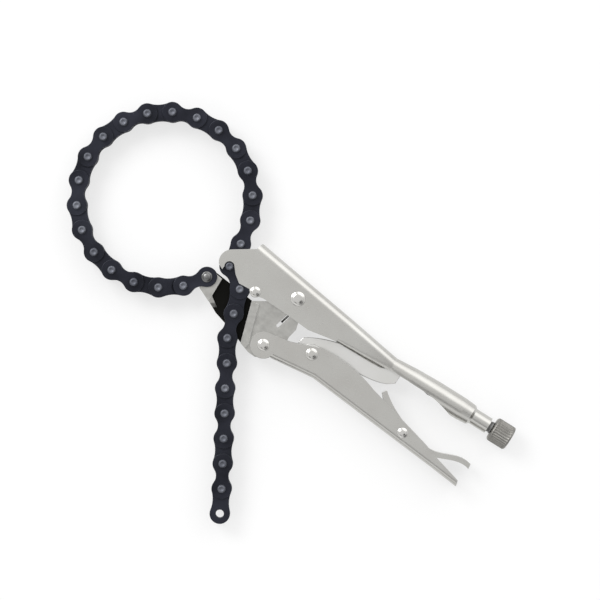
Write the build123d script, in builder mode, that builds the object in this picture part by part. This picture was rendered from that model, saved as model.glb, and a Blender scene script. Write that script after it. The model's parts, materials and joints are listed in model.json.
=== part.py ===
"""Locking chain clamp, closed and locked, with its chain looped round where a pipe would be.

Millimetres. The clamp lies flat: X and Y are the plane that all its hinges turn in, and Z runs along the
hinge pins. The origin is the axis of the held pipe, midway through the chain's thickness. Every outline of
the pliers is given from the hook, the pin spot where the chain lies in the nose.
"""

import os
from math import atan2, cos, degrees, radians, sin

from build123d import *

# Chain
pitch = 15.875
loop_bend = 16.44
loop_start = -61.3
loop_links = 20
hook_heading = -116.6
tail_headings = [-65.8, -104, -104.7, -91.3, -93.9, -91.3, -92, -92.2, -92.5, -94.3]
eye_radius = 6.45
eye_corners = 6
eye_open = 132
eye_overshoot = 1.04
stud_corners = 12
inner_waist = 10.3
outer_waist = 7.8
link_plate = 1.6
link_gap = 0.15
bushing_length = 5.0
bushing_radius = 3.7
chain_pin_radius = 2.55
chain_pin_stand = 2.4
running_gap = 0.05

# Sheet metal of the pliers, and their rivets
body_wall = 2.3
handle_wall = 2.05
side_gap = 0.3
jaw_gap = 0.25
spine_radius = 5.5
body_length = 75.0
body_depth = 17.2
spine_angle = -40.3
notch_radius = 3.2
tube_seam = 0.8
toggle_slot_gap = 1.2

# Tube handle, adjusting screw and knob
tube_angle = -32.0
tube_neck_radius = 5.5
tube_radius = 7.3
tube_length = 60.0
tube_wall = 1.7
tube_front_radius = 6.75
tube_shoulder = 1.6
tube_shoulder_drop = 0.6
bore_shoulder = 3.0
neck_roundness = 0.94
neck_floor = 1.84
neck_floor_radius = 0.92
collar_radius = 5.2
collar_length = 11.5
screw_radius = 3.9
screw_gap = 0.06
screw_tip_radius = 3.12
screw_taper = 9.0
neck_length = 2.6
knob_radius = 7.95
knob_length = 13.3
knob_bevel = 1.2

# Lower jaw
jaw_wall = 2.5
rim_height = 4.1
tip_radius = 5.4
web_height = 8.2
jaw_pivot_radius = 7.5
jaw_heel_radius = 8.7
tail_room = 0.45

# Lower handle, release lever and toggle link
handle_front_radius = 8.3
handle_bend_radius = 3.6
lever_thickness = 3.4
lever_half_width = 5.4
lever_pin_radius = 2.2
toggle_half_width = 2.2
toggle_eye_radius = 6.2
toggle_end_radius = 2.3

# Jaw spring, its slit in the jaw and its tab on the body
coil_radius = 3.2
wire_radius = 0.7
coil_turns = 9
hook_reach = 3.6
slit_width = 1.9
slit_reach = 1.2
tab_half = 0.9
wire_lap = 0.42
ring_rise = 1.54
leg_bend = 0.24
leg_end = 0.3

# Rivets and journals: each head's rim and dome radius
rivet_radius = 3.0
cross_rivet_radius = 2.4
head_height = 1.0
rim_share = 0.45
jaw_head = (4.7, 3.6)
handle_head = (3.9, 2.9)
toggle_head = (3.9, 3.0)
lever_head = (3.4, 2.6)
cross_head = (3.5, 2.8)
anchor_head = (3.45, 2.9)
anchor_head_height = 1.6
journal_radius = 3.0
journal_length = 9.0
toggle_gap = 1.0


def polar(length, angle):
    """A vector in the hinge plane from its length and its direction in degrees."""
    return Vector(length * cos(radians(angle)), length * sin(radians(angle)))


def chain_spots():
    """Every pin spot of the chain: round the pipe from the jaw's tip, then the hook, then the loose tail."""
    loop_radius = pitch / (2 * sin(radians(loop_bend / 2)))
    spots = [polar(loop_radius, loop_start - loop_bend * i) for i in range(loop_links + 1)]
    for heading in [hook_heading, *tail_headings]:
        spots.append(spots[-1] + polar(pitch, heading))
    return spots


spots = chain_spots()
anchor = spots[0]
hook = spots[loop_links + 1]

# Layers through the thickness, from the chain's middle outwards
inner_link_half = bushing_length / 2 + link_plate
outer_link_face = inner_link_half + link_gap
chain_half = outer_link_face + link_plate
stud_end = chain_half + chain_pin_stand
side_inside = chain_half + side_gap
body_half = side_inside + body_wall
handle_half = side_inside + handle_wall
jaw_core_half = chain_half
jaw_wall_top = -(body_half + jaw_gap)
jaw_wall_floor = jaw_wall_top - jaw_wall

# Pivots, from the hook
jaw_pivot = hook + Vector(43.2, -20.6)
handle_pivot = hook + Vector(21.4, -49.6)
toggle_pivot = hook + Vector(51.9, -55.4)
lever_pivot = hook + Vector(109.1, -105.0)
cross_rivet_spot = hook + Vector(16.3, -16.2)
tube_end = hook + Vector(163.6, -100.8)

spine_way = polar(1, spine_angle)
spine_down = Vector(spine_way.Y, -spine_way.X)
tube_way = polar(1, tube_angle)
tube_down = Vector(tube_way.Y, -tube_way.X)
tube_start = tube_end - tube_way * (tube_length + collar_length)
spine_front = hook + Vector(21.1, 14.2)
spine_rear = spine_front + spine_way * body_length

# Screw tip: where the line from the handle pivot through the toggle pivot meets the tube's axis
lock_way = (toggle_pivot - handle_pivot).normalized()
lock_reach = (tube_end - handle_pivot).dot(tube_down) / lock_way.dot(tube_down)
screw_tip = handle_pivot + lock_way * lock_reach
tip_run = (screw_tip - tube_start).dot(tube_way) + toggle_end_radius + toggle_gap

# Jaw spring ends
slit_inner = hook + Vector(30.4, -37.5)
slit_mouth = hook + Vector(38.2, -30.3)
spring_eye = hook + Vector(75.0, -39.4)
coil_front = hook + Vector(50.0, -31.9)


def heading_of(number):
    """The direction in degrees of a link, counted from 1, from its first pin spot to its second."""
    way = spots[number] - spots[number - 1]
    return degrees(atan2(way.Y, way.X))


def flat(points, shift=None):
    """Points as X, Y pairs, moved by a vector."""
    shift = shift or Vector(0, 0)
    return [(p[0] + shift.X, p[1] + shift.Y) for p in points]


def link_plane(spot, heading, height):
    """The plane of a link at a height, with X from its first pin spot to its second."""
    way = polar(1, heading)
    return Plane(origin=(spot.X, spot.Y, height), x_dir=(way.X, way.Y, 0), z_dir=(0, 0, 1))


def link_side_plane(spot, heading):
    """The plane that shows a link from its edge: X along the link, Y up the chain's thickness."""
    way = polar(1, heading)
    return Plane(origin=(spot.X, spot.Y, 0), x_dir=(way.X, way.Y, 0), z_dir=(way.Y, -way.X, 0))


def plate_outline(waist):
    """A link plate's face: two eyes of short straight sides, joined by a waist."""
    step = 2 * eye_open / (eye_corners - 1)
    reach = eye_radius * eye_overshoot
    eye = [polar(reach, 180 - eye_open + step * i) for i in range(eye_corners)]
    near = [(spot.X, spot.Y) for spot in eye]
    far = [(pitch - x, -y) for x, y in near]
    with BuildSketch() as outline:
        Polygon(*near, (pitch / 2, -waist / 2), *far, (pitch / 2, waist / 2), align=None)
    return outline.sketch


def rod(spot, radius, half_length, mode=Mode.ADD):
    """A round rod or hole along Z through the part being built, with its middle at the chain's middle."""
    with Locations((spot.X, spot.Y, 0)):
        Cylinder(radius, 2 * half_length, mode=mode)


def stud(spot, radius, low, high):
    """A many-sided rod along Z between two heights on both sides of the chain's middle."""
    for side in (-1, 1):
        with BuildSketch(Plane(origin=(spot.X, spot.Y, side * low))) as section:
            RegularPolygon(radius, stud_corners)
        extrude(section.sketch, amount=side * (high - low))


def make_link(number, waist, inside, pins=(), bushings=()):
    """Two plates pressed on pins or bushings at pin spots; every eye without a pin has a running bore."""
    spot, heading = spots[number - 1], heading_of(number)
    with BuildPart() as link:
        for side in (-1, 1):
            with BuildSketch(link_plane(spot, heading, side * inside)):
                add(plate_outline(waist))
            extrude(amount=side * link_plate)
        for end in bushings:
            stud(spots[end - 1], bushing_radius, 0, bushing_length / 2)
        for end in (number, number + 1):
            if end in pins:
                rod(spots[end - 1], chain_pin_radius, outer_link_face)
                stud(spots[end - 1], chain_pin_radius, chain_half, stud_end)
            else:
                rod(spots[end - 1], chain_pin_radius + running_gap, chain_half, Mode.SUBTRACT)
    return link


def make_half_link(number):
    """A cranked link: narrow with a bushing at its first pin spot, wide with a pin at its second."""
    spot, heading = spots[number - 1], heading_of(number)
    bushing_half = bushing_length / 2
    crank_start = eye_radius + link_gap * 2
    crank_end = pitch - crank_start
    past_eye = 1.1 * eye_radius
    near, far = -past_eye, pitch + past_eye
    with BuildPart() as link:
        for side in (-1, 1):
            with BuildSketch(link_plane(spot, heading, side * bushing_half)):
                add(plate_outline(inner_waist))
            extrude(amount=side * (chain_half - bushing_half))
        with BuildSketch(link_side_plane(spot, heading)):
            for side in (-1, 1):
                Polygon(
                    (near, side * bushing_half),
                    (crank_start, side * bushing_half),
                    (crank_end, side * outer_link_face),
                    (far, side * outer_link_face),
                    (far, side * chain_half),
                    (crank_end, side * chain_half),
                    (crank_start, side * inner_link_half),
                    (near, side * inner_link_half),
                    align=None,
                )
        extrude(amount=past_eye, both=True, mode=Mode.INTERSECT)
        stud(spot, bushing_radius, 0, bushing_half)
        rod(spot, chain_pin_radius + running_gap, inner_link_half, Mode.SUBTRACT)
        rod(spots[number], chain_pin_radius, outer_link_face)
        stud(spots[number], chain_pin_radius, chain_half, stud_end)
    return link


def make_rivet(spot, shank, seat, head, height=head_height):
    """A rivet through everything between two seats, with a tapered head at both ends."""
    rim, dome = head
    side = Plane(origin=(spot.X, spot.Y, 0), x_dir=(1, 0, 0), z_dir=(0, -1, 0))
    rim_top, top = seat + height * rim_share, seat + height
    upper = [(shank, seat), (rim, seat), (rim, rim_top), (dome, top), (0, top)]
    lower = [(x, -z) for x, z in reversed(upper)]
    with BuildPart() as rivet:
        with BuildSketch(side):
            Polygon(*upper, *lower, align=None)
        revolve(axis=Axis((spot.X, spot.Y, 0), (0, 0, 1)))
    return rivet


def way_plane(spot, way):
    """The plane square to a direction of the hinge plane, with Y pointing up, away from the lower handle."""
    return Plane(origin=(spot.X, spot.Y, 0), x_dir=(0, 0, -1), z_dir=(way.X, way.Y, 0))


def axis_plane(spot, way):
    """The hinge plane itself, with X along a direction."""
    return Plane(origin=(spot.X, spot.Y, 0), x_dir=(way.X, way.Y, 0), z_dir=(0, 0, 1))


def rounded_box(half_width, top, bottom, top_radius, low_radius):
    """A box section about its plane's origin, with its own corner radius above and below."""
    with BuildSketch() as section:
        with BuildLine():
            FilletPolyline(
                (half_width, top),
                (half_width, bottom),
                (-half_width, bottom),
                (-half_width, top),
                radius=[top_radius, low_radius, low_radius, top_radius],
                close=True,
            )
        make_face()
    return section.sketch


def slab(points, low, high, mode=Mode.ADD):
    """A polygon given from the hook, filled from one height to another in the part being built."""
    with BuildSketch(Plane.XY.offset(low)) as outline:
        Polygon(*flat(points, hook), align=None)
    extrude(outline.sketch, amount=high - low, mode=mode)


def make_upper_body():
    """The folded body: two plates under a rounded spine, necked down to a tube with a swaged collar."""
    spine_axis = Axis((0, 0, 0), (spine_way.X, spine_way.Y, 0))
    underside = spine_front + spine_down * body_wall
    underside_rear = underside + spine_way * (body_length + body_depth)
    plate_rear = spine_rear + spine_down * body_depth
    clear = 2 * body_depth
    with BuildPart() as body:
        # Both plates and the spine in one block, from the nose to the neck
        with BuildSketch(Plane.XY.offset(-body_half)):
            with BuildLine():
                nose = hook + Vector(-6.6, 1.6)
                brow = hook + Vector(1.2, 10.6)
                ThreePointArc(nose, hook + Vector(-4.9, 7.6), brow)
                Polyline(brow, hook + Vector(17.3, 10.9), spine_front, spine_rear, plate_rear)
                Polyline(
                    plate_rear,
                    *[hook + Vector(*p) for p in ((61.6, -45.0), (49.5, -40.2), (36.6, -30.7))],
                    *[hook + Vector(*p) for p in ((21.7, -20.6), (13.0, -17.4), (12.4, -14.2))],
                    *[hook + Vector(*p) for p in ((6.1, -10.8), (3.9, -5.1))],
                    hook + Vector(notch_radius, 0),
                )
                ThreePointArc(
                    hook + Vector(notch_radius, 0),
                    hook + Vector(0, notch_radius),
                    hook + Vector(-notch_radius, 0),
                )
                Polyline(hook + Vector(-notch_radius, 0), hook + Vector(-4.6, -1.8), nose)
            make_face()
        extrude(amount=2 * body_half)
        fillet(body.edges().filter_by(spine_axis), spine_radius)
        # The space between the plates, open below and at the nose
        with BuildSketch(Plane.XY.offset(-side_inside)):
            with BuildLine():
                Polyline(
                    underside,
                    underside_rear,
                    underside_rear + spine_down * clear,
                    hook + Vector(-20, -60),
                    hook + Vector(-20, 30),
                    underside + Vector(0, 30),
                    close=True,
                )
            make_face()
        extrude(amount=2 * side_inside, mode=Mode.SUBTRACT)
        inner_edges = body.edges().filter_by(spine_axis)
        fillet(
            inner_edges.filter_by(lambda edge: abs(abs(edge.center().Z) - side_inside) < 0.01),
            spine_radius - body_wall,
        )
        # The neck: from the folded section to the round tube
        with BuildSketch(way_plane(spine_rear, spine_way)):
            add(rounded_box(body_half, 0, -body_depth, spine_radius, body_wall))
        with BuildSketch(way_plane(tube_start, tube_way)):
            round_corner = tube_neck_radius * neck_roundness
            half = tube_neck_radius
            add(rounded_box(half, half, -half, round_corner, round_corner))
        loft(ruled=True)
        # The tube swells towards its rear and ends in the collar
        inside = tube_radius - tube_wall
        with BuildSketch(axis_plane(tube_start, tube_way)):
            Polygon(
                (0, 0),
                (0, tube_neck_radius),
                (tube_length * 0.25, tube_front_radius),
                (tube_length * 0.5, tube_radius),
                (tube_length * 0.85, tube_radius),
                (tube_length - tube_shoulder, tube_radius - tube_shoulder_drop),
                (tube_length, collar_radius),
                (tube_length + collar_length, collar_radius),
                (tube_length + collar_length, 0),
                align=None,
            )
        revolve(axis=Axis((tube_start.X, tube_start.Y, 0), (tube_way.X, tube_way.Y, 0)))
        # Hollow all through: neck, tube and the collar's thread bore
        with BuildSketch(way_plane(spine_rear, spine_way)):
            fold_inside = spine_radius - body_wall
            add(rounded_box(side_inside, -body_wall, neck_floor - body_depth, fold_inside, neck_floor_radius))
        with BuildSketch(way_plane(tube_start, tube_way)):
            bore_radius = tube_neck_radius - tube_wall
            round_corner = bore_radius * neck_roundness
            add(rounded_box(bore_radius, bore_radius, -bore_radius, round_corner, round_corner))
        loft(ruled=True, mode=Mode.SUBTRACT)
        with BuildSketch(axis_plane(tube_start, tube_way)):
            Polygon(
                (0, 0),
                (0, tube_neck_radius - tube_wall),
                (tube_length * 0.5, inside),
                (tube_length - bore_shoulder, inside),
                (tube_length, screw_radius + screw_gap),
                (tube_length + collar_length, screw_radius + screw_gap),
                (tube_length + collar_length, 0),
                align=None,
            )
        revolve(axis=Axis((tube_start.X, tube_start.Y, 0), (tube_way.X, tube_way.Y, 0)), mode=Mode.SUBTRACT)
        # The underside: open for the toggle link, arched behind it, and a seam along the closed tube
        with BuildSketch(axis_plane(tube_start, tube_way).offset(-2 * body_half)):
            with BuildLine():
                ThreePointArc((-12, -9), (-4, -4.2), (6, -2.9))
                Line((6, -2.9), (27, -3.2))
                ThreePointArc((27, -3.2), (38, -4.6), (50, -8.4))
                Polyline((50, -8.4), (50, -20), (-12, -20), (-12, -9))
            make_face()
        extrude(amount=4 * body_half, mode=Mode.SUBTRACT)
        slot_half = toggle_half_width + toggle_slot_gap
        with BuildSketch(axis_plane(tube_start, tube_way).offset(-slot_half)):
            Polygon((-50, -34), (2, -34), (2, -1), (-50, -1), align=None)
        extrude(amount=2 * slot_half, mode=Mode.SUBTRACT)
        with BuildSketch(axis_plane(tube_start, tube_way).offset(-tube_seam / 2)):
            collar_end = tube_length + collar_length
            Polygon((40, -2), (collar_end, -2), (collar_end, -12), (40, -12), align=None)
        extrude(amount=tube_seam, mode=Mode.SUBTRACT)
        # The tab that the jaw spring hooks into
        with BuildSketch(Plane.XY.offset(-tab_half)):
            with BuildLine():
                Polyline(
                    spring_eye + Vector(-2.6, 8.5),
                    spring_eye + Vector(-2.6, -2.4),
                    spring_eye + Vector(2.6, -2.4),
                    spring_eye + Vector(2.6, 4.0),
                    close=True,
                )
            make_face()
        extrude(amount=2 * tab_half)
        rod(spring_eye, wire_radius + side_gap, tab_half, Mode.SUBTRACT)
        rod(jaw_pivot, rivet_radius, 2 * body_half, Mode.SUBTRACT)
        rod(cross_rivet_spot, cross_rivet_radius, 2 * body_half, Mode.SUBTRACT)
    return body


def make_lower_jaw():
    """The lower jaw: a tip that holds the chain, a trough where the tail lies, and a block on two pivots."""
    tip = anchor - hook
    first_heading = heading_of(1)
    first_way = polar(1, first_heading)
    slit_way = slit_mouth - slit_inner
    slit_angle = degrees(atan2(slit_way.Y, slit_way.X))
    swing_radius = eye_radius + tail_room
    rim_inside = ((-4.8, -8.0), (-11.2, -18.7))
    rim_outside = ((-13.4, -22.0), (-19.0, -13.6))
    web_front = ((14.1, -21.8), (6.9, -48.4))
    with BuildPart() as jaw:
        # The rim stands beside the tail and sinks away below it
        slab(
            (*rim_inside, (-6.4, -30.5), (-9.1, -29.3), *rim_outside, (tip.X, tip.Y)),
            jaw_wall_floor,
            rim_height,
        )
        sink = ((-15.0, rim_height), (-26.0, jaw_wall_top), (-60, jaw_wall_top), (-60, 20), (-15.0, 20))
        with BuildSketch(Plane.YZ.offset(hook.X - 30)):
            Polygon(*flat(sink, Vector(hook.Y, 0)), align=None)
        extrude(amount=32, mode=Mode.SUBTRACT)
        with BuildSketch(Plane.XY.offset(jaw_wall_top)):
            with Locations((anchor.X, anchor.Y)):
                Circle(swing_radius)
            with Locations((anchor.X + first_way.X * pitch, anchor.Y + first_way.Y * pitch)):
                Rectangle(2 * pitch, 2 * swing_radius, rotation=first_heading)
        extrude(amount=-jaw_wall_top - rim_height, mode=Mode.SUBTRACT)
        # The tip, round the anchor rivet, between the first link's plates
        with BuildSketch(Plane.XY.offset(-rim_height)):
            with Locations((anchor.X, anchor.Y)):
                Circle(tip_radius)
            Polygon(*flat((*rim_inside, *rim_outside, (-19.3, -8.6), (-11.0, -2.4)), hook), align=None)
        extrude(amount=2 * rim_height)
        # The trough's wall behind the tail, and the web that rises beside it
        slab(
            (*web_front, (-4.0, -35.0), (-9.1, -29.3), *rim_outside, (-18.5, -9.5), (-9.0, -3.5)),
            jaw_wall_floor,
            jaw_wall_top,
        )
        slab(
            (*web_front, (9.6, -51.6), (12.4, -48.8), (13.2, -43.6), (18.6, -24.2)),
            jaw_wall_floor,
            web_height,
        )
        # The block between the body's plates, round both pivots
        with BuildSketch(Plane.XY.offset(-jaw_core_half)):
            heel = ((11.6, -54.1), (16.0, -57.2), (26.0, -57.0), (31.8, -54.1), (35.0, -49.7), (37.5, -44.7))
            back = ((42.0, -40.2), (43.4, -35.6), (38.6, -31.0), (38.4, -26.5), (35.8, -19.0), (24.0, -22.0))
            Polygon(*flat((*web_front, *heel, *back), hook), align=None)
            with Locations((jaw_pivot.X, jaw_pivot.Y)):
                Circle(jaw_pivot_radius)
            with Locations((handle_pivot.X, handle_pivot.Y)):
                Circle(jaw_heel_radius)
        extrude(amount=2 * jaw_core_half)
        # The slit that takes the jaw spring's front hook
        with BuildSketch(Plane.XY.offset(-jaw_core_half)):
            slit_middle = slit_inner + slit_way * (slit_reach / 2)
            with Locations((slit_middle.X, slit_middle.Y)):
                SlotCenterToCenter(slit_way.length * slit_reach, slit_width, rotation=slit_angle)
        extrude(amount=2 * jaw_core_half, mode=Mode.SUBTRACT)
        rod(jaw_pivot, rivet_radius + running_gap, 2 * body_half, Mode.SUBTRACT)
        rod(handle_pivot, rivet_radius + running_gap, 2 * body_half, Mode.SUBTRACT)
        rod(anchor, chain_pin_radius, chain_half, Mode.SUBTRACT)
    return jaw


def make_lower_handle():
    """The lower handle: a channel folded round its bottom edge, open towards the tube, with a flared tip."""
    low_front, low_bend, low_rear, tip_low = (24.5, -57.3), (52.7, -70.6), (128.0, -127.5), (142.7, -139.0)
    with BuildPart() as handle:
        with BuildSketch(Plane.XY.offset(-handle_half)):
            with BuildLine():
                Polyline(*flat((tip_low, low_rear, low_bend, low_front), hook))
                front_top = (24.2, -41.8)
                ThreePointArc(
                    flat((low_front,), hook)[0],
                    (handle_pivot.X - handle_front_radius, handle_pivot.Y),
                    flat((front_top,), hook)[0],
                )
                Polyline(*flat((front_top, (38.2, -47.6), (58.0, -51.6)), hook))
                ThreePointArc(*flat(((58.0, -51.6), (74.0, -61.2), (91.0, -77.9)), hook))
                rear_top = ((91.0, -77.9), (124.1, -112.6), (131.5, -121.6), (143.9, -135.0))
                Polyline(*flat((*rear_top, tip_low), hook))
            make_face()
        extrude(amount=2 * handle_half)
        folds = [
            edge
            for edge in handle.edges().filter_by(lambda e: abs(abs(e.center().Z) - handle_half) < 0.01)
            if on_fold(edge, (low_front, low_bend, low_rear, tip_low))
        ]
        fillet(folds, handle_bend_radius)
        # The channel's inside, a wall's thickness above the bottom edge
        inner = [Vector(*p) for p in (low_front, low_bend, low_rear, tip_low)]
        raised = offset_run(inner, handle_wall)
        with BuildSketch(Plane.XY.offset(-side_inside)):
            Polygon(
                *flat([(p.X, p.Y) for p in raised], hook),
                *flat(((170.0, -130.0), (170.0, -20.0), (0.0, -20.0), (0.0, -57.3)), hook),
                align=None,
            )
            with Locations((handle_pivot.X, handle_pivot.Y)):
                Circle(jaw_heel_radius + 2 * side_gap)
        extrude(amount=2 * side_inside, mode=Mode.SUBTRACT)
        rod(handle_pivot, rivet_radius, 2 * body_half, Mode.SUBTRACT)
        rod(toggle_pivot, rivet_radius, 2 * body_half, Mode.SUBTRACT)
        rod(lever_pivot, lever_pin_radius, 2 * body_half, Mode.SUBTRACT)
    return handle


def on_fold(edge, run):
    """Whether an edge's middle lies on a run of points given from the hook."""
    middle = edge.center() - hook
    for start, end in zip(run, run[1:]):
        a, b = Vector(*start), Vector(*end)
        way = (b - a).normalized()
        reach = (Vector(middle.X, middle.Y) - a).dot(way)
        off = (Vector(middle.X, middle.Y) - a - way * reach).length
        if off < 0.01 and 0 < reach < (b - a).length:
            return True
    return False


def offset_run(run, distance):
    """A run of points moved up by a distance, square to each stretch."""
    ways = [(b - a).normalized() for a, b in zip(run, run[1:])]
    ups = [Vector(-way.Y, way.X) for way in ways]
    moved = [run[0] + ups[0] * distance]
    for corner, one, two in zip(run[1:-1], ups, ups[1:]):
        both = (one + two).normalized()
        moved.append(corner + both * (distance / both.dot(one)))
    moved.append(run[-1] + ups[-1] * distance + ways[-1] * 2 * distance)
    return moved


def make_release_lever():
    """The release lever: a nose under the toggle link, a boss on its pin, a curved tail past the handle."""
    with BuildPart() as lever:
        with BuildSketch(Plane.XY.offset(-lever_half_width)):
            with BuildLine():
                Spline(*flat(((99.4, -78.4), (104.6, -90.0), (112.6, -101.2), (122.4, -111.2)), hook))
                Spline(*flat(((122.4, -111.2), (131.8, -117.4), (142.5, -119.5), (152.1, -124.9)), hook))
                Polyline(*flat(((152.1, -124.9), (150.7, -127.9)), hook))
                Spline(*flat(((150.7, -127.9), (142.0, -122.9), (131.5, -120.9), (121.4, -115.4)), hook))
                belly = ((121.4, -115.4), (112.0, -109.6), (104.6, -104.6), (98.6, -93.0), (96.2, -79.8))
                Polyline(*flat(belly, hook))
                Line(*flat(((96.2, -79.8), (99.4, -78.4)), hook))
            make_face()
        extrude(amount=2 * lever_half_width)
        rod(lever_pivot, lever_pin_radius + running_gap, 2 * body_half, Mode.SUBTRACT)
    return lever


def make_toggle_link():
    """The toggle link: a tall eye on its rivet, a belly over the lever and a rounded end at the screw."""
    end = screw_tip - hook
    with BuildPart() as toggle:
        with BuildSketch(Plane.XY.offset(-toggle_half_width)):
            with BuildLine():
                top = ((end.X - 3.4, end.Y + 3.2), (89.0, -57.0), (73.0, -49.8), (59.0, -45.9), (46.6, -44.9))
                Spline(*flat(top, hook))
                left = ((46.6, -44.9), (43.6, -47.4), (43.4, -51.5))
                Polyline(*flat(left, hook))
                ThreePointArc(*flat(((43.4, -51.5), (46.6, -60.0), (54.0, -61.6)), hook))
                belly = ((54.0, -61.6), (69.0, -63.2), (80.0, -67.2), (90.0, -71.8), (99.0, -74.4))
                Spline(*flat(belly, hook))
                Polyline(*flat((belly[-1], (104.6, -74.2), (end.X + 0.6, end.Y - toggle_end_radius)), hook))
                ThreePointArc(
                    *flat(
                        (
                            (end.X + 0.6, end.Y - toggle_end_radius),
                            (end.X + toggle_end_radius, end.Y),
                            (end.X, end.Y + toggle_end_radius),
                        ),
                        hook,
                    )
                )
                Line(*flat(((end.X, end.Y + toggle_end_radius), (end.X - 3.4, end.Y + 3.2)), hook))
            make_face()
        extrude(amount=2 * toggle_half_width)
        with BuildSketch(Plane.XY.offset(-jaw_core_half)):
            with Locations((toggle_pivot.X, toggle_pivot.Y)):
                Circle(toggle_eye_radius)
        extrude(amount=2 * jaw_core_half)
        rod(toggle_pivot, rivet_radius + running_gap, 2 * body_half, Mode.SUBTRACT)
    return toggle


def make_adjusting_screw():
    """The screw's rod, from its tip behind the toggle link to its journal inside the knob."""
    tip = tip_run
    rear = tube_length + collar_length + neck_length
    with BuildPart() as screw:
        with BuildSketch(axis_plane(tube_start, tube_way)):
            Polygon(
                (tip, 0),
                (tip, screw_tip_radius),
                (tip + screw_taper, screw_radius),
                (rear, screw_radius),
                (rear, journal_radius),
                (rear + journal_length, journal_radius),
                (rear + journal_length, 0),
                align=None,
            )
        revolve(axis=Axis((tube_start.X, tube_start.Y, 0), (tube_way.X, tube_way.Y, 0)))
    return screw


def make_adjusting_knob():
    """The knob: a barrel with bevelled ends that turns on the screw's journal."""
    front = tube_length + collar_length + neck_length + side_gap
    rear = front + knob_length
    with BuildPart() as knob:
        with BuildSketch(axis_plane(tube_start, tube_way)):
            Polygon(
                (front, 0),
                (front, knob_radius - knob_bevel),
                (front + knob_bevel, knob_radius),
                (rear - knob_bevel, knob_radius),
                (rear, knob_radius - knob_bevel),
                (rear, 0),
                align=None,
            )
        revolve(axis=Axis((tube_start.X, tube_start.Y, 0), (tube_way.X, tube_way.Y, 0)))
        with BuildSketch(way_plane(tube_start + tube_way * front, tube_way)):
            Circle(journal_radius + running_gap)
        extrude(amount=journal_length + side_gap, mode=Mode.SUBTRACT)
    return knob


def wire(start, end):
    """A straight stretch of spring wire in the part being built, lapped at both ends to close its corners."""
    way = (end - start).normalized()
    with BuildSketch(Plane(origin=start - way * wire_lap, z_dir=way)) as section:
        Circle(wire_radius)
    extrude(section.sketch, amount=(end - start).length + 2 * wire_lap)


def make_jaw_spring():
    """The jaw spring: a close coil with a straight leg and a bent end at the slit and at the body's tab."""
    coil_way = (spring_eye - coil_front).normalized()
    coil_rear = coil_front + coil_way * 2 * wire_radius * coil_turns
    ring_start = spring_eye - coil_way * hook_reach
    rise = Vector(0, 0, tab_half + ring_rise)
    slit_run = slit_mouth - slit_inner
    front_run = (coil_front, slit_mouth + slit_run * leg_bend, slit_inner + slit_run * leg_end)
    ring_end = spring_eye - Vector(0, 0, tab_half)
    rear_run = (coil_rear, ring_start, ring_start + rise, spring_eye + rise, ring_end)
    with BuildPart() as spring:
        with BuildSketch(Plane(origin=coil_front, z_dir=coil_way)):
            Circle(coil_radius)
        extrude(amount=(coil_rear - coil_front).length)
        for run in (front_run, rear_run):
            for start, end in zip(run, run[1:]):
                wire(start, end)
    return spring


def save(piece, name):
    """Labels one finished piece and writes it."""
    piece.part.label = name
    export_step(piece.part, f"parts/{name}.step")


os.makedirs("parts", exist_ok=True)

save(make_upper_body(), "upper_body")
save(make_lower_jaw(), "lower_jaw")
save(make_lower_handle(), "lower_handle")
save(make_release_lever(), "release_lever")
save(make_toggle_link(), "toggle_link")
save(make_adjusting_screw(), "adjusting_screw")
save(make_adjusting_knob(), "adjusting_knob")
save(make_jaw_spring(), "jaw_spring")

save(make_rivet(jaw_pivot, rivet_radius, body_half, jaw_head), "jaw_pivot_rivet")
save(make_rivet(handle_pivot, rivet_radius, handle_half, handle_head), "handle_pivot_rivet")
save(make_rivet(toggle_pivot, rivet_radius, handle_half, toggle_head), "toggle_pivot_rivet")
save(make_rivet(lever_pivot, lever_pin_radius, handle_half, lever_head), "release_lever_rivet")
save(make_rivet(cross_rivet_spot, cross_rivet_radius, body_half, cross_head), "nose_cross_rivet")
anchor_seat = chain_half + link_gap
save(make_rivet(anchor, chain_pin_radius, anchor_seat, anchor_head, anchor_head_height), "chain_anchor_rivet")

for number in range(1, len(spots)):
    if number == 1:
        link = make_link(number, outer_waist, outer_link_face, pins=(2,))
    elif number == 2:
        link = make_half_link(number)
    elif number % 2:
        link = make_link(number, inner_waist, bushing_length / 2, bushings=(number, number + 1))
    else:
        link = make_link(number, outer_waist, outer_link_face, pins=(number, number + 1))
    save(link, f"chain_link_{number:02d}")
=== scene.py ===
import json
import math
from itertools import chain

import bmesh
import bpy
import numpy as np
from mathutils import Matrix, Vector
from mathutils.geometry import tessellate_polygon

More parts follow.
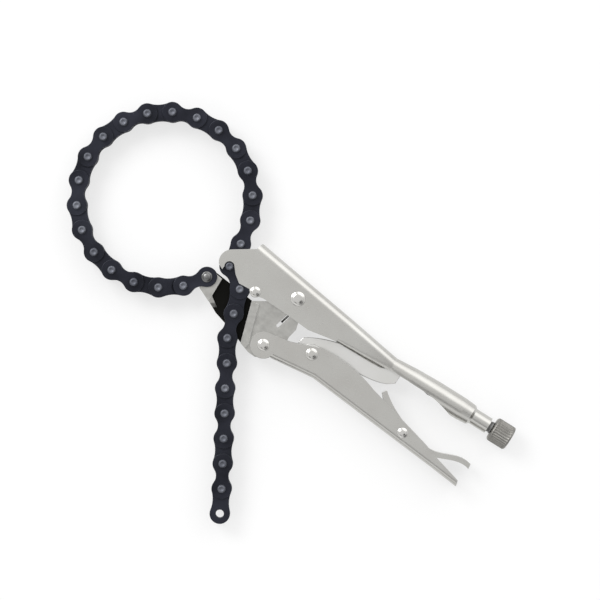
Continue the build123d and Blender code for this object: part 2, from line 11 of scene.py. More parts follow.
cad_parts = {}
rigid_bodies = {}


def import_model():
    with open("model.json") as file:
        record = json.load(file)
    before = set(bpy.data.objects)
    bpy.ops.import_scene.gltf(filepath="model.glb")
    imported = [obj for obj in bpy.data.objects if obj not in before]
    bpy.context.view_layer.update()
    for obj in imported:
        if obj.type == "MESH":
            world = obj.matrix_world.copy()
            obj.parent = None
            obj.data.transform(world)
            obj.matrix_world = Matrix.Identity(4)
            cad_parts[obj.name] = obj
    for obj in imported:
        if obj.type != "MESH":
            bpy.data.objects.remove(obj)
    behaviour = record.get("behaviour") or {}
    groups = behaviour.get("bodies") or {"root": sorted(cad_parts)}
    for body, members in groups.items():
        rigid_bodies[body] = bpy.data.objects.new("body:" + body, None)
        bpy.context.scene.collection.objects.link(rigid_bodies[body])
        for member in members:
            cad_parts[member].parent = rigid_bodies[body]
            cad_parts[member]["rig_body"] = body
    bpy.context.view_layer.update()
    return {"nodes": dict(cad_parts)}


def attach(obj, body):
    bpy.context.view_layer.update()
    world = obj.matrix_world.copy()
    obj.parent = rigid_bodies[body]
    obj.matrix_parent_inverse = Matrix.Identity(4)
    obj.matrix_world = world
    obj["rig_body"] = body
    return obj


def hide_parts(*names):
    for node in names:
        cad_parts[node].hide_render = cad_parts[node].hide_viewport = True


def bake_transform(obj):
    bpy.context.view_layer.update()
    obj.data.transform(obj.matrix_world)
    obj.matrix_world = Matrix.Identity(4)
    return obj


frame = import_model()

MM = 0.001
Z = np.array([0.0, 0.0, 1.0])
# Points closer than this, in metres, are one point
MERGE = 2e-6
# How far a rolled edge stands back and short at each step of its quarter turn, as shares of its radius
ROLL = [(1 - math.cos(turn), 1 - math.sin(turn)) for turn in (0.0, 0.35, 0.8, 1.3, math.pi / 2)]

# The chain: pin spots, plates, pins and bushings
PITCH = 15.875
LOOP_BEND, LOOP_START, LOOP_LINKS = 16.44, -61.3, 20
HOOK_HEADING = -116.6
TAIL_HEADINGS = [-65.8, -104, -104.7, -91.3, -93.9, -91.3, -92, -92.2, -92.5, -94.3]
ANCHOR_LINK, CRANKED_LINK = 1, 2
EYE, INNER_WAIST, OUTER_WAIST = 6.45, 10.3, 7.8
# Degrees from one point of an eye to the next
EYE_STEP, CRANKED_EYE_STEP = 9.0, 7.5
PLATE, PLATE_ROLL, INNER_LOW, OUTER_LOW = 1.6, 0.28, 2.5, 4.25
PIN, PIN_HOLE, PIN_END, BUSHING = 2.55, 2.6, 8.25, 3.7
# A staked pin's end: height above its top and how far inside its radius, out to the middle of its dimple
PIN_STAKE = [(-0.55, 0.0), (-0.25, 0.12), (0.0, 0.5), (0.05, 1.1475), (-0.3, 1.632), (-0.42, 2.55)]
# Where the cranked link's plates step outwards, as shares of the pitch
CRANK_START, CRANK_RUN = 0.42, 0.16


def heading(angle):
    """A unit vector in the hinge plane, its angle in degrees."""
    return np.array([math.cos(math.radians(angle)), math.sin(math.radians(angle))])


def pin_spots():
    """The chain's pin spots: a circle of chords from the jaw's tip, then the hook, then the loose tail."""
    radius = PITCH / 2 / math.sin(math.radians(LOOP_BEND / 2))
    spots = [radius * heading(LOOP_START - LOOP_BEND * i) for i in range(LOOP_LINKS + 1)]
    for angle in [HOOK_HEADING, *TAIL_HEADINGS]:
        spots.append(spots[-1] + PITCH * heading(angle))
    return spots


SPOTS = pin_spots()
HOOK = SPOTS[LOOP_LINKS + 1]
# The tube's way from the nose to the rear, and the middle of its rear end
TUBE_WAY = heading(-32.0)
TUBE_END = HOOK + (163.6, -100.8)

# Each rivet: its body, spot, shank radius, height of its seat, rim radius and height of its head
RIVETS = {
    "jaw_pivot_rivet": ("upper_body", HOOK + (43.2, -20.6), 3.0, 8.45, 4.7, 1.0),
    "handle_pivot_rivet": ("lower_handle", HOOK + (21.4, -49.6), 3.0, 8.2, 3.9, 1.0),
    "toggle_pivot_rivet": ("lower_handle", HOOK + (51.9, -55.4), 3.0, 8.2, 3.9, 1.0),
    "release_lever_rivet": ("lower_handle", HOOK + (109.1, -105.0), 2.2, 8.2, 3.4, 1.0),
    "nose_cross_rivet": ("upper_body", HOOK + (16.3, -16.2), 2.4, 8.45, 3.5, 1.0),
    "chain_anchor_rivet": ("lower_jaw", SPOTS[0], PIN, 6.0, 3.45, 1.6),
}


# Meshes


class Shape:
    """Points and faces gathered from several parts, each with its material number and shading."""

    def __init__(self):
        self.points, self.faces, self.slots, self.smooth, self.count = [], [], [], [], 0

    def add(self, points, faces, slot=0, smooth=True):
        """Adds one part: its points, and its faces as rows of its own point numbers."""
        self.points.append(points)
        self.faces.append(faces + self.count)
        self.slots.append(np.full(len(faces), slot))
        self.smooth.append(np.full(len(faces), smooth))
        self.count += len(points)

    def piece(self, node_name, materials, body):
        """The finished object in place of a CAD node, riding on a body if one is given."""
        mesh = bpy.data.meshes.new(f"fine_{node_name}")
        corners = chain.from_iterable(part.tolist() for part in self.faces)
        mesh.from_pydata((np.vstack(self.points) * MM).tolist(), [], list(corners))
        mesh.polygons.foreach_set("material_index", np.concatenate(self.slots))
        mesh.polygons.foreach_set("use_smooth", np.concatenate(self.smooth))
        merge_doubles(mesh)
        return finished(mesh, node_name, materials, body)


def finished(mesh, node_name, materials, body):
    """An object of a mesh that replaces a CAD node and rides on a body if one is given."""
    for material in materials:
        mesh.materials.append(material)
    obj = bpy.data.objects.new(mesh.name, mesh)
    bpy.context.scene.collection.objects.link(obj)
    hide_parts(node_name)
    if body:
        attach(obj, body)
    return obj


def merge_doubles(mesh, flat=None):
    """Merges points that coincide, and joins faces that turn less than an angle if one is given."""
    edit = bmesh.new()
    edit.from_mesh(mesh)
    bmesh.ops.remove_doubles(edit, verts=edit.verts, dist=MERGE)
    if flat:
        bmesh.ops.dissolve_limit(edit, angle_limit=flat, verts=edit.verts, edges=edit.edges)
    edit.to_mesh(mesh)
    edit.free()


def unit(vectors):
    """Vectors scaled to length one along their last axis."""
    vectors = np.asarray(vectors, float)
    return vectors / np.linalg.norm(vectors, axis=-1, keepdims=True)


def lifted(flat, height=0.0):
    """Points of the hinge plane as 3D points at a height."""
    flat = np.asarray(flat, float)
    return np.concatenate([flat, np.full((*flat.shape[:-1], 1), height)], -1)


def rings(loops):
    """Quads between closed loops of equal count: p(i, j), p(i, j + 1), p(i + 1, j + 1), p(i + 1, j)."""
    loops = np.asarray(loops)
    grid = np.arange(loops.shape[0] * loops.shape[1]).reshape(loops.shape[:2])
    ahead = np.roll(grid, -1, 1)
    quads = np.stack([grid[:-1], ahead[:-1], ahead[1:], grid[1:]], -1)
    return loops.reshape(-1, 3), quads.reshape(-1, 4)


def cap(loops, flip=False):
    """Triangles over an outline with holes, from loops of 3D points that lie in one flat face."""
    faces = np.array(tessellate_polygon([[Vector(p) for p in loop] for loop in loops]))
    return np.vstack(loops), faces[:, ::-1] if flip else faces


def lathe(shape, profile, origin, way, count=48, slot=0, ridges=None):
    """Turns (s, r) points round an axis: p = o + w s + r (u cos t + v sin t); ridges(s, t) is added to r."""
    way = unit(way)
    side = unit(np.cross(way, Z if abs(way[2]) < 0.9 else np.array([1.0, 0.0, 0.0])))
    up = np.cross(way, side)
    turn = np.linspace(0, 2 * math.pi, count, endpoint=False)
    along, radius = np.array(profile, float).T[:, :, None]
    reach = np.maximum(radius + (ridges(along, turn) if ridges else 0 * turn), 0)
    out = np.cos(turn)[:, None] * side + np.sin(turn)[:, None] * up
    points, faces = rings(origin + along[:, :, None] * way + reach[:, :, None] * out)
    shape.add(points, faces, slot)


def inset(loop, distance):
    """A closed smooth loop, anticlockwise, moved inwards by a distance at every point: p + d (-w_y, w_x)."""
    way = unit(np.roll(loop, -1, 0) - np.roll(loop, 1, 0))
    return loop + distance * np.column_stack([-way[:, 1], way[:, 0]])


def plate(shape, outline, low, high, bevel, holes=()):
    """A flat plate with rolled edges: its outline shrinks by b (1 - cos a) as it rises by b sin a."""
    loops = [outline, *holes]
    for loop in loops:
        lower = [lifted(inset(loop, bevel * back), low + bevel * short) for back, short in reversed(ROLL)]
        upper = [lifted(inset(loop, bevel * back), high - bevel * short) for back, short in ROLL]
        shape.add(*rings(lower + upper))
    for height, flip in ((high, False), (low, True)):
        shape.add(*cap([lifted(inset(loop, bevel), height) for loop in loops], flip), smooth=False)


def circle(centre, radius, count=32, clockwise=False):
    """Points round a circle, anticlockwise unless told otherwise: c + r (cos t, sin t)."""
    turn = np.linspace(0, 2 * math.pi, count, endpoint=False) * (-1 if clockwise else 1)
    return centre + radius * np.column_stack([np.cos(turn), np.sin(turn)])


# The chain


def link_outline(spot, angle, waist, step=EYE_STEP):
    """A link plate's outline: eyes of radius e round both pins, joined by arcs of radius h that touch them.

    With the pins at (0, 0) and (p, 0), the arc's centre is (p/2, w/2 + h), where
    h = ((p/2)^2 + (w/2)^2 - e^2) / (2 (e - w/2)) makes the eyes and the arcs touch."""
    half, span = waist / 2, PITCH / 2
    hollow = (span**2 + half**2 - EYE**2) / (2 * (EYE - half))
    opening = math.degrees(math.atan2(half + hollow, span))
    eye = np.radians(np.linspace(opening, 360 - opening, 1 + round((360 - 2 * opening) / step)))
    around = EYE * np.column_stack([np.cos(eye), np.sin(eye)])
    below = np.radians(np.linspace(180 - opening, opening, 7)[1:-1])
    between = np.column_stack([span + hollow * np.cos(below), -(half + hollow) + hollow * np.sin(below)])
    near = np.vstack([around, between])
    loop = np.vstack([near, np.array([PITCH, 0]) - near])
    way = heading(angle)
    return spot + loop @ np.array([way, (-way[1], way[0])])


def add_bushing(shape, spot, bored=False):
    """A bushing between the inner plates, r = b, with a bore where no pin fills it."""
    profile = [(-INNER_LOW, BUSHING), (INNER_LOW, BUSHING)]
    if bored:
        profile += [(INNER_LOW, PIN_HOLE), (-INNER_LOW, PIN_HOLE), (-INNER_LOW, BUSHING)]
    lathe(shape, profile, lifted(spot), Z)


def add_pin(shape, spot):
    """A staked pin: r = p up to both ends, where it rolls in to a shallow dimple."""
    profile = [(-OUTER_LOW, PIN), *((PIN_END + rise, PIN - inside) for rise, inside in PIN_STAKE)]
    for way in (Z, -Z):
        lathe(shape, profile, lifted(spot), way, 40, 1)


def add_cranked(shape, near, angle):
    """The cranked link: both plates step out from bushing to pin, z = low + (high - low) t t (3 - 2 t)."""
    loop = link_outline(near, angle, INNER_WAIST, CRANKED_EYE_STEP)
    way = heading(angle)
    # Both faces close inwards on a spine of points that runs from pin to pin
    spine_end = 0.06 * PITCH
    along = np.clip((loop - near) @ way, 0, PITCH) * (1 - 2 * spine_end / PITCH)
    spine = near + (spine_end + along)[:, None] * way
    shrunk = [spine + (inset(loop, PLATE_ROLL) - spine) * share for share in (0.5, 0.0)]
    rolled = [(inset(loop, PLATE_ROLL * back), PLATE_ROLL * short) for back, short in ROLL]
    for side in (1, -1):

        def stepped(ring, height):
            """A ring at a height above the plate's inner face, which follows the crank."""
            t = np.clip(((ring - near) @ way / PITCH - CRANK_START) / CRANK_RUN, 0, 1)
            rise = INNER_LOW + (OUTER_LOW - INNER_LOW) * t * t * (3 - 2 * t)
            return np.column_stack([ring, side * (rise + height)])

        stack = [stepped(ring, 0.0) for ring in reversed(shrunk)]
        stack += [stepped(ring, short) for ring, short in reversed(rolled)]
        stack += [stepped(ring, PLATE - short) for ring, short in rolled]
        stack += [stepped(ring, PLATE) for ring in shrunk]
        points, faces = rings(stack)
        shape.add(points, faces[:, ::side])
    add_bushing(shape, near)


def make_chain(plates, pins):
    """Every link of the chain as its own piece, with rounded plates, bushings and staked pins."""
    last = len(SPOTS) - 1
    for number in range(1, last + 1):
        near, far = SPOTS[number - 1], SPOTS[number]
        angle = math.degrees(math.atan2(far[1] - near[1], far[0] - near[0]))
        inner = number % 2 == 1 and number != ANCHOR_LINK
        shape = Shape()
        if number == CRANKED_LINK:
            add_cranked(shape, near, angle)
        else:
            outline = link_outline(near, angle, INNER_WAIST if inner else OUTER_WAIST)
            low = INNER_LOW if inner else OUTER_LOW
            holes = [circle(far, PIN_HOLE, clockwise=True)] if number == last else []
            plate(shape, outline, low, low + PLATE, PLATE_ROLL, holes)
            plate(shape, outline, -low - PLATE, -low, PLATE_ROLL, holes)
        if inner:
            add_bushing(shape, near)
            add_bushing(shape, far, bored=number == last)
        else:
            for spot in [far] if number in (ANCHOR_LINK, CRANKED_LINK) else [near, far]:
                add_pin(shape, spot)
        name = f"chain_link_{number:02d}"
        shape.piece(name, [plates, pins], name)


# Rivets, screw, knob and spring


def make_rivet(name, material):
    """A peened rivet: a rim round a dome, (z, r) = (s + h (l + (1 - l) sin t), d cos t), at both ends."""
    body, spot, shank, seat, rim, height = RIVETS[name]
    dome, dome_low = rim * 0.74, 0.45
    turn = np.linspace(0, math.pi / 2, 8)
    arc = np.column_stack([seat + height * (dome_low + (1 - dome_low) * np.sin(turn)), dome * np.cos(turn)])
    edge = [(seat, rim - 0.1), (seat + 0.12, rim)]
    edge += [(seat + height * 0.3, rim), (seat + height * 0.42, rim - 0.2)]
    shape = Shape()
    for way in (Z, -Z):
        lathe(shape, [(0, shank), (seat, shank), *edge, *arc], lifted(spot), way)
    shape.piece(name, [material], body)


def make_knob(material):
    """The knob: a barrel with straight ridges, r = R - d |sin(n t / 2)|, between its two bevels."""
    ridge_count, depth, fade_run = 30, 0.55, 0.5
    start, length, radius, edge = 2.9, 13.3, 7.95, 1.2
    end = start + length

    def ridges(along, turn):
        """Ridge depth at a place along the knob, fading out at both bevels."""
        fade = np.clip(np.minimum(along - start - edge, end - edge - along) / fade_run, 0, 1)
        return -depth * fade * np.abs(np.sin(turn * ridge_count / 2))

    front = [(start, 0), (start, 3.2), (start, 5.4), (start, radius - edge)]
    front += [(start + edge * 0.4, radius - edge * 0.4), (start + edge, radius)]
    grip = [(along, radius) for along in np.linspace(start + edge + 0.25, end - edge - 0.25, 8)]
    rear = [(end - edge, radius), (end - edge * 0.4, radius - edge * 0.35)]
    rear += [(end - 0.1, radius - edge * 1.1), (end, radius - edge * 1.6)]
    dimple = [(end, 3.0), (end - 0.5, 2.0), (end - 0.6, 0)]
    shape = Shape()
    lathe(shape, front + grip + rear + dimple, lifted(TUBE_END), lifted(TUBE_WAY), 8 * ridge_count, 0, ridges)
    shape.piece("adjusting_knob", [material], "adjusting_knob")


def make_screw(material):
    """The adjusting screw: r = R - d tri(s / l - t / 2 pi) along its thread, plain at both ends."""
    lead, depth, radius, journal = 1.25, 0.6, 3.9, 3.0
    tip, tip_run, rear, journal_run = -47.0, 4.0, 2.6, 9.0
    fade_run, step = 1.2, 0.3

    def ridges(along, turn):
        """The thread's groove at a place along the screw and round it."""
        inside = np.clip(np.minimum(along - tip - tip_run, rear - step - along) / fade_run, 0, 1)
        return -depth * inside * np.abs(((along / lead - turn / (2 * math.pi)) % 1) * 2 - 1)

    profile = [(tip, 0), (tip, radius * 0.76), (tip + 0.4, radius * 0.8)]
    profile += [(along, radius) for along in np.arange(tip + tip_run, rear - 0.2, step)]
    profile += [(rear, radius), (rear, journal), (rear + journal_run, journal), (rear + journal_run, 0)]
    shape = Shape()
    lathe(shape, profile, lifted(TUBE_END), lifted(TUBE_WAY), 40, 0, ridges)
    shape.piece("adjusting_screw", [material], "adjusting_screw")


def tube_along(shape, path, radius, square, count=14):
    """A round wire along a path: p = c + r (u cos t + v sin t), u square to the way and to a fixed vector.

    A ring of radius zero at each end closes it."""
    path = np.asarray(path, float)
    way = unit(np.gradient(path, axis=0))
    side = unit(np.cross(way, square))
    up = np.cross(way, side)
    turn = np.linspace(0, 2 * math.pi, count, endpoint=False)
    out = np.cos(turn)[:, None] * side[:, None] + np.sin(turn)[:, None] * up[:, None]
    ends = np.repeat(path[[0, -1], None], count, 1)
    shape.add(*rings(np.concatenate([ends[:1], path[:, None] + radius * out, ends[1:]])))


def rounded(points, radius, count=6):
    """A run of straight stretches whose corners follow the quadratic p = (1-t)^2 a + 2 t (1-t) c + t^2 b."""
    run = [points[0]]
    t = np.linspace(0, 1, count)[:, None]
    for before, corner, after in zip(points, points[1:], points[2:]):
        a = corner + (before - corner) * min(0.45, radius / np.linalg.norm(before - corner))
        b = corner + (after - corner) * min(0.45, radius / np.linalg.norm(after - corner))
        run.extend((1 - t) ** 2 * a + 2 * t * (1 - t) * corner + t * t * b)
    run.append(points[-1])
    return run


def make_spring(material):
    """The jaw spring: a close helix p = o + w a t + c (u cos t + v sin t), a straight leg and a hook."""
    slit_inner, slit_mouth, eye = HOOK + (30.4, -37.5), HOOK + (38.2, -30.3), HOOK + (75.0, -39.4)
    wire, coil, turns, turn_pitch, points_per_turn = 0.62, 3.2, 9, 1.4, 28
    front = slit_mouth + (11.8, -1.6)
    way = unit(eye - front)
    along, side = lifted(way), lifted((-way[1], way[0]))
    half_pitch = turn_pitch / 2
    coil_front = lifted(front) + along * half_pitch
    coil_rear = lifted(front) + along * (turn_pitch * turns - half_pitch)
    shape = Shape()
    t = np.linspace(0, turns * 2 * math.pi, turns * points_per_turn)
    out = np.cos(t)[:, None] * side + np.sin(t)[:, None] * Z
    helix = coil_front + (coil_rear - coil_front) * (t / t[-1])[:, None] + (coil - wire) * out
    tube_along(shape, helix, wire, along)
    mouth = slit_mouth + (slit_mouth - slit_inner) * 0.24
    seat = slit_inner + (slit_mouth - slit_inner) * 0.3
    tube_along(shape, rounded([coil_front, lifted(mouth), lifted(seat)], 1.2), wire, Z)
    bend, rise, drop = lifted(eye - way * 3.6), Z * 2.44, Z * 0.9
    hook = [coil_rear, bend, bend + rise, lifted(eye) + rise, lifted(eye) - drop]
    tube_along(shape, rounded(hook, 0.9), wire, side)
    spring = shape.piece("jaw_spring", [material], None)
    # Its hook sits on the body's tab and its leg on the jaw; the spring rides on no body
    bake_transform(spring)


# Sheet metal carried over from the frame

# Faces that turn less than the first are joined, and edges that turn more than the second are rolled
FLAT, SHARP = math.radians(0.5), math.radians(35)


def dress(name, material, bevel):
    """Replaces a CAD node by a copy with its doubles merged, flat faces joined and edges rolled."""
    source = frame["nodes"][name]
    mesh = source.data.copy()
    mesh.name = f"fine_{name}"
    mesh.materials.clear()
    merge_doubles(mesh, FLAT)
    mesh.polygons.foreach_set("use_smooth", np.ones(len(mesh.polygons), bool))
    obj = finished(mesh, name, [material], source["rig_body"])
    roll = obj.modifiers.new("roll", "BEVEL")
    roll.width = bevel * MM
    roll.segments = 3
    roll.limit_method = "ANGLE"
    roll.angle_limit = SHARP
    roll.harden_normals = True
    obj.modifiers.new("shade", "WEIGHTED_NORMAL")


# Materials

# Near-black colour of the painted shade deep in the jaw's trough beside the chain
TROUGH_SHADE = (0.012, 0.012, 0.011, 1)
# Middle and reach, in metres, of the box in the jaw's trough that gets the painted shade
SHADED_TROUGH = ((0.044, -0.074, -0.0075), (0.017, 0.028, 0.0026))
# Depth of the grain's relief, in metres
RELIEF = 0.0002
# Noise keeps near its middle, so these values count as its lowest and highest
BROAD_SPAN, FINE_SPAN = (0.32, 0.68), (0.3, 0.7)
# Cosines of the turn from the true to the rounded normal at which wear starts and is full
WEAR_SPAN = (0.995, 0.9)
# Size of the grain along and across, in waves to the metre
SHEET = (500.0, 2200.0)
BLOCK = (900.0, 1500.0)
HEADS = (900.0, 900.0)
FORGED = (1200.0, 1200.0)
TURNED = (1500.0, 1500.0)


def node(tree, kind, inputs=None, **settings):
    """A node with its properties set, and each named input linked to a socket or given a value."""
    made = tree.nodes.new(kind)
    for key, value in settings.items():
        setattr(made, key, value)
    for key, value in (inputs or {}).items():
        if isinstance(value, bpy.types.NodeSocket):
            tree.links.new(value, made.inputs[key])
        else:
            made.inputs[key].default_value = value
    return made


def combined(tree, operation, first, second, **settings):
    """Two numbers combined by a math node, each a socket or a value."""
    return node(tree, "ShaderNodeMath", {0: first, 1: second}, operation=operation, **settings).outputs[0]


def spread(tree, value, span, low=0.0, high=1.0, **settings):
    """A number carried over from a span to the range from low to high, and held at its ends."""
    inputs = {"Value": value, "From Min": span[0], "From Max": span[1], "To Min": low, "To Max": high}
    return node(tree, "ShaderNodeMapRange", inputs, **settings).outputs[0]


def mixed(tree, share, first, second):
    """Two colours mixed by a share."""
    mix = node(tree, "ShaderNodeMix", {"Factor": share, "A": first, "B": second}, data_type="RGBA")
    return mix.outputs["Result"]


def new_group(name, inputs, output_names):
    """An empty node group: inputs are numbers or vectors, like their starting values, outputs are numbers."""
    group = bpy.data.node_groups.new(name, "ShaderNodeTree")
    for label, value in inputs.items():
        kind = "NodeSocketFloat" if isinstance(value, float) else "NodeSocketVector"
        group.interface.new_socket(label, in_out="INPUT", socket_type=kind).default_value = value
    for label in output_names:
        group.interface.new_socket(label, in_out="OUTPUT", socket_type="NodeSocketFloat")
    return group, group.nodes.new("NodeGroupInput").outputs, group.nodes.new("NodeGroupOutput").inputs


def grain_group():
    """Fine surface grain, stretched along one way, and broad mottling, both by object position."""
    start = {"Along": 400.0, "Across": 2500.0, "Mottle": 45.0}
    group, given, out = new_group("grain", start, ["Fine", "Broad"])
    place = node(group, "ShaderNodeTexCoord").outputs["Object"]
    across = given["Across"]
    stretch = node(group, "ShaderNodeCombineXYZ", {0: given["Along"], 1: across, 2: across})
    scaled = node(group, "ShaderNodeVectorMath", {0: place, 1: stretch.outputs[0]}, operation="MULTIPLY")
    fine = node(group, "ShaderNodeTexNoise", {"Vector": scaled.outputs[0], "Scale": 1.0, "Detail": 3.0})
    broad = node(group, "ShaderNodeTexNoise", {"Vector": place, "Scale": given["Mottle"], "Detail": 4.0})
    group.links.new(fine.outputs["Fac"], out["Fine"])
    group.links.new(broad.outputs["Fac"], out["Broad"])
    return group


def wear_group():
    """Edge wear: 1 where the rounded normal turns away from the true one, broken up by noise."""
    group, given, out = new_group("edge_wear", {"Radius": 0.0004, "Amount": 1.0}, ["Wear"])
    round_normal = node(group, "ShaderNodeBevel", {"Radius": given["Radius"]}, samples=4).outputs[0]
    normal = node(group, "ShaderNodeNewGeometry").outputs["Normal"]
    near = node(group, "ShaderNodeVectorMath", {0: round_normal, 1: normal}, operation="DOT_PRODUCT")
    turned = spread(group, near.outputs["Value"], WEAR_SPAN)
    place = node(group, "ShaderNodeTexCoord").outputs["Object"]
    noise = node(group, "ShaderNodeTexNoise", {"Vector": place, "Scale": 300.0})
    broken = combined(group, "MULTIPLY", turned, noise.outputs["Fac"])
    group.links.new(combined(group, "MULTIPLY", broken, given["Amount"], use_clamp=True), out["Wear"])
    return group


def painted_shade_group():
    """Painted shade in a box: the product of clamp((reach - |p - middle|) / blur) over the axes, on upward
    faces.
    """
    start = {"Middle": (0.0, 0.0, 0.0), "Reach": (0.0, 0.0, 0.0), "Blur": 0.001}
    group, given, out = new_group("painted_trough_shade", start, ["Mask"])
    place = node(group, "ShaderNodeTexCoord").outputs["Object"]
    away = node(group, "ShaderNodeVectorMath", {0: place, 1: given["Middle"]}, operation="SUBTRACT")
    far = node(group, "ShaderNodeVectorMath", {0: away.outputs[0]}, operation="ABSOLUTE")
    inside = node(group, "ShaderNodeVectorMath", {0: given["Reach"], 1: far.outputs[0]}, operation="SUBTRACT")
    depth = node(group, "ShaderNodeVectorMath", {0: inside.outputs[0], 1: given["Blur"]}, operation="DIVIDE")
    shares = node(group, "ShaderNodeSeparateXYZ", {0: depth.outputs[0]})
    normal = node(group, "ShaderNodeNewGeometry").outputs["Normal"]
    mask = node(group, "ShaderNodeSeparateXYZ", {0: normal}).outputs["Z"]
    for axis in "XYZ":
        share = node(group, "ShaderNodeClamp", {0: shares.outputs[axis]}).outputs[0]
        mask = combined(group, "MULTIPLY", mask, share, use_clamp=True)
    group.links.new(mask, out["Mask"])
    return group


def metal(name, dull, clear, worn, rough, grain, bump, wear=1.6, metallic=1.0, mottle=45.0, painted_shade_box=None):
    """A metal: two colours mottled by broad grain, worn edges and painted shade in a box if one is given,
    rough and uneven by fine grain.
    """
    material = bpy.data.materials.new(name)
    material.use_nodes = True
    tree = material.node_tree
    shader = tree.nodes["Principled BSDF"]
    shader.inputs["Metallic"].default_value = metallic
    grains = node(
        tree, "ShaderNodeGroup", {"Along": grain[0], "Across": grain[1], "Mottle": mottle}, node_tree=GRAIN
    ).outputs
    edges = node(tree, "ShaderNodeGroup", {"Amount": wear}, node_tree=WEAR)
    colour = mixed(tree, spread(tree, grains["Broad"], BROAD_SPAN), (*dull, 1), (*clear, 1))
    colour = mixed(tree, edges.outputs["Wear"], colour, (*worn, 1))
    # Painted shade: upward faces in the box turn near black, standing for the trough's deep shadow
    if painted_shade_box:
        trough_shade = node(tree, "ShaderNodeGroup", {"Middle": painted_shade_box[0], "Reach": painted_shade_box[1]}, node_tree=PAINTED_SHADE)
        colour = mixed(tree, trough_shade.outputs["Mask"], colour, TROUGH_SHADE)
    tree.links.new(colour, shader.inputs["Base Color"])
    tree.links.new(spread(tree, grains["Fine"], FINE_SPAN, *rough), shader.inputs["Roughness"])
    relief = node(tree, "ShaderNodeBump", {"Height": grains["Fine"], "Strength": bump, "Distance": RELIEF})
    tree.links.new(relief.outputs[0], shader.inputs["Normal"])
    return material


# Making the pieces

GRAIN, WEAR, PAINTED_SHADE = grain_group(), wear_group(), painted_shade_group()

plated = metal(
    "plated_steel", (0.52, 0.51, 0.485), (0.565, 0.56, 0.535), (0.72, 0.72, 0.70), (0.27, 0.30), SHEET, 0.006
)
# The jaw's trough beside the chain gets painted shade
jaw_steel = metal(
    "jaw_steel", (0.42, 0.415, 0.395), (0.52, 0.515, 0.49), (0.70, 0.70, 0.68), (0.30, 0.38), BLOCK, 0.05,
    mottle=260.0, painted_shade_box=SHADED_TROUGH
)
# A lighter copy of the plated steel: a painted highlight that stands for the white reflection off the toggle
# link's top
toggle_painted_highlight = metal(
    "toggle_steel_painted_highlight", (0.74, 0.735, 0.71), (0.78, 0.775, 0.76), (0.88, 0.88, 0.87), (0.28, 0.30), SHEET, 0.003
)
rivet_steel = metal(
    "rivet_steel", (0.60, 0.59, 0.56), (0.68, 0.67, 0.65), (0.85, 0.85, 0.83), (0.12, 0.2), HEADS, 0.05
)
anchor_steel = metal(
    "anchor_steel", (0.14, 0.14, 0.14), (0.22, 0.22, 0.22), (0.42, 0.42, 0.42), (0.28, 0.40), HEADS, 0.08
)
chain_steel = metal(
    "chain_steel", (0.012, 0.013, 0.018), (0.030, 0.032, 0.044), (0.12, 0.125, 0.15), (0.28, 0.5), FORGED,
    0.2, wear=1.2, metallic=0.85
)
pin_steel = metal(
    "pin_steel", (0.10, 0.105, 0.125), (0.18, 0.188, 0.215), (0.30, 0.31, 0.34), (0.45, 0.6), TURNED, 0.15
)
knob_steel = metal(
    "knob_steel", (0.27, 0.262, 0.245), (0.37, 0.362, 0.34), (0.48, 0.475, 0.45), (0.40, 0.52), FORGED, 0.2
)
screw_steel = metal(
    "screw_steel", (0.14, 0.14, 0.14), (0.22, 0.22, 0.215), (0.35, 0.35, 0.35), (0.3, 0.45), FORGED, 0.15
)
spring_steel = metal(
    "spring_steel", (0.36, 0.36, 0.35), (0.46, 0.46, 0.45), (0.6, 0.6, 0.6), (0.22, 0.35), TURNED, 0.1
)

dress("upper_body", plated, 0.35)
dress("lower_jaw", jaw_steel, 0.4)
dress("lower_handle", plated, 0.35)
dress("release_lever", plated, 0.4)
dress("toggle_link", toggle_painted_highlight, 0.6)
make_chain(chain_steel, pin_steel)
for rivet in RIVETS:
    make_rivet(rivet, anchor_steel if rivet == "chain_anchor_rivet" else rivet_steel)
make_knob(knob_steel)
make_screw(screw_steel)
make_spring(spring_steel)

# Floor, light and camera

# The middle of the photograph, in metres
MIDDLE = np.array([85.4, -63.3]) * MM
FLOOR_HEIGHT, FLOOR_REACH = -11.25 * MM, 12.0
FLOOR_GREY, FLOOR_GLOW = 0.92, 0.65
CAMERA_HEIGHT, FRAME_WIDTH, SENSOR = 2.2, 0.3795, 36.0
# Grey of the studio by height, from the horizon (0) to straight above (1)
SKY = [(0.0, 0.2), (0.12, 0.28), (0.32, 0.66), (0.6, 0.88), (1.0, 0.84)]
SKY_DARKEST = 0.05
# Turn and height of each patch of the studio, the angles where it is full and gone, and what it adds
SKY_PATCHES = [
    (58, 32, 22, 38, 1.0),
    (135, 40, 10, 30, 0.4),
    (-50, 24, 14, 34, -0.6),
    (-122, 58, 4, 15, -0.6),
    (-122, 25, 10, 25, 0.3),
    (-50, 66, 5, 14, -0.8),
]


def glow_for_views(material, share):
    """Mixes white light into a surface for camera, glossy and transmission rays, to keep its shadow pale."""
    tree = material.node_tree
    path = node(tree, "ShaderNodeLightPath").outputs
    seen = path["Is Camera Ray"]
    for ray in ("Is Glossy Ray", "Is Transmission Ray"):
        seen = combined(tree, "MAXIMUM", seen, path[ray])
    factor = combined(tree, "MULTIPLY", seen, share)
    glow = node(tree, "ShaderNodeEmission")
    plain = tree.nodes["Principled BSDF"].outputs[0]
    mix = node(tree, "ShaderNodeMixShader", {0: factor, 1: plain, 2: glow.outputs[0]})
    tree.links.new(mix.outputs[0], tree.nodes["Material Output"].inputs["Surface"])


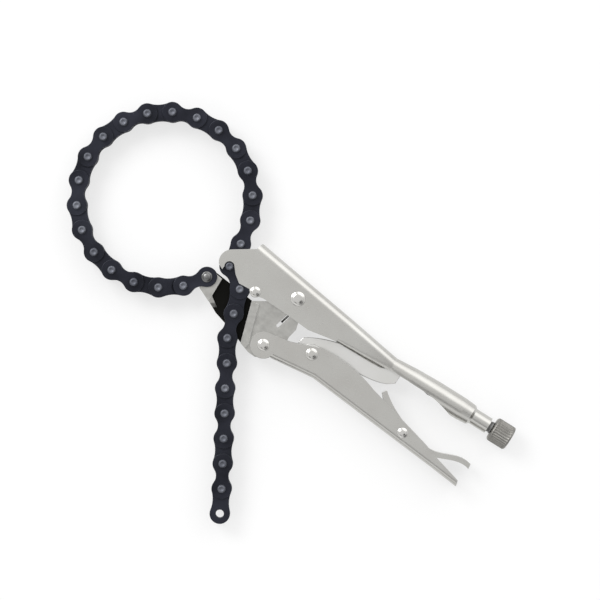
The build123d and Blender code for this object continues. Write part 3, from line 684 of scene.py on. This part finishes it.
def make_floor():
    """A wide pale floor that the clamp lies on."""
    mesh = bpy.data.meshes.new("floor")
    square = [(-1, -1), (1, -1), (1, 1), (-1, 1)]
    corners = [(FLOOR_REACH * x, FLOOR_REACH * y, FLOOR_HEIGHT) for x, y in square]
    mesh.from_pydata(corners, [], [(0, 1, 2, 3)])
    floor = bpy.data.objects.new("floor", mesh)
    bpy.context.scene.collection.objects.link(floor)
    paper = bpy.data.materials.new("paper")
    paper.use_nodes = True
    sockets = paper.node_tree.nodes["Principled BSDF"].inputs
    sockets["Base Color"].default_value = (FLOOR_GREY, FLOOR_GREY, FLOOR_GREY, 1)
    sockets["Roughness"].default_value = 0.9
    sockets["Specular IOR Level"].default_value = 0.1
    glow_for_views(paper, FLOOR_GLOW)
    mesh.materials.append(paper)


def make_softbox(name, place, size, power):
    """A square area light that faces the clamp's middle."""
    light = bpy.data.lights.new(name, "AREA")
    light.size = size
    light.energy = power
    lamp = bpy.data.objects.new(name, light)
    lamp.location = place
    lamp.rotation_mode = "QUATERNION"
    lamp.rotation_quaternion = (Vector((*MIDDLE, 0)) - Vector(place)).to_track_quat("-Z", "Y")
    bpy.context.scene.collection.objects.link(lamp)


def sky_patch(tree, way, base, turn, height, inner, outer, amount):
    """Light or dark in the studio round one direction: base + amount, from an inner to an outer angle."""
    flat = math.cos(math.radians(height))
    middle = (*(flat * heading(turn)), math.sin(math.radians(height)))
    near = node(tree, "ShaderNodeVectorMath", {0: way, 1: middle}, operation="DOT_PRODUCT")
    span = math.cos(math.radians(outer)), math.cos(math.radians(inner))
    fade = spread(tree, near.outputs["Value"], span, 0.0, amount, interpolation_type="SMOOTHSTEP")
    return combined(tree, "ADD", base, fade)


def make_studio():
    """The studio round the clamp: grey by height, a white strip to the north-east, and dark flags."""
    world = bpy.data.worlds.new("studio")
    bpy.context.scene.world = world
    world.use_nodes = True
    tree = world.node_tree
    way = node(tree, "ShaderNodeTexCoord").outputs["Generated"]
    height = node(tree, "ShaderNodeSeparateXYZ", {0: way}).outputs["Z"]
    ramp = node(tree, "ShaderNodeValToRGB", {0: height})
    stops = ramp.color_ramp.elements
    for i, (place, value) in enumerate(SKY):
        stop = stops[i] if i < 2 else stops.new(place)
        stop.position = place
        stop.color = (value, value, value, 1)
    level = ramp.outputs[0]
    for patch in SKY_PATCHES:
        level = sky_patch(tree, way, level, *patch)
    background = tree.nodes["Background"].inputs
    tree.links.new(combined(tree, "MAXIMUM", level, SKY_DARKEST), background["Color"])
    background["Strength"].default_value = 1.0


def make_camera():
    """A long lens straight above the middle of the photograph."""
    lens = bpy.data.cameras.new("camera")
    lens.sensor_width = SENSOR
    lens.lens = SENSOR * CAMERA_HEIGHT / FRAME_WIDTH
    lens.clip_end = 20
    camera = bpy.data.objects.new("camera", lens)
    camera.location = (*MIDDLE, CAMERA_HEIGHT)
    bpy.context.scene.collection.objects.link(camera)
    bpy.context.scene.camera = camera


make_floor()
make_softbox("key", (-0.9, 0.9, 1.5), 0.9, 16)
make_studio()
make_camera()
bpy.context.scene.view_settings.view_transform = "Standard"
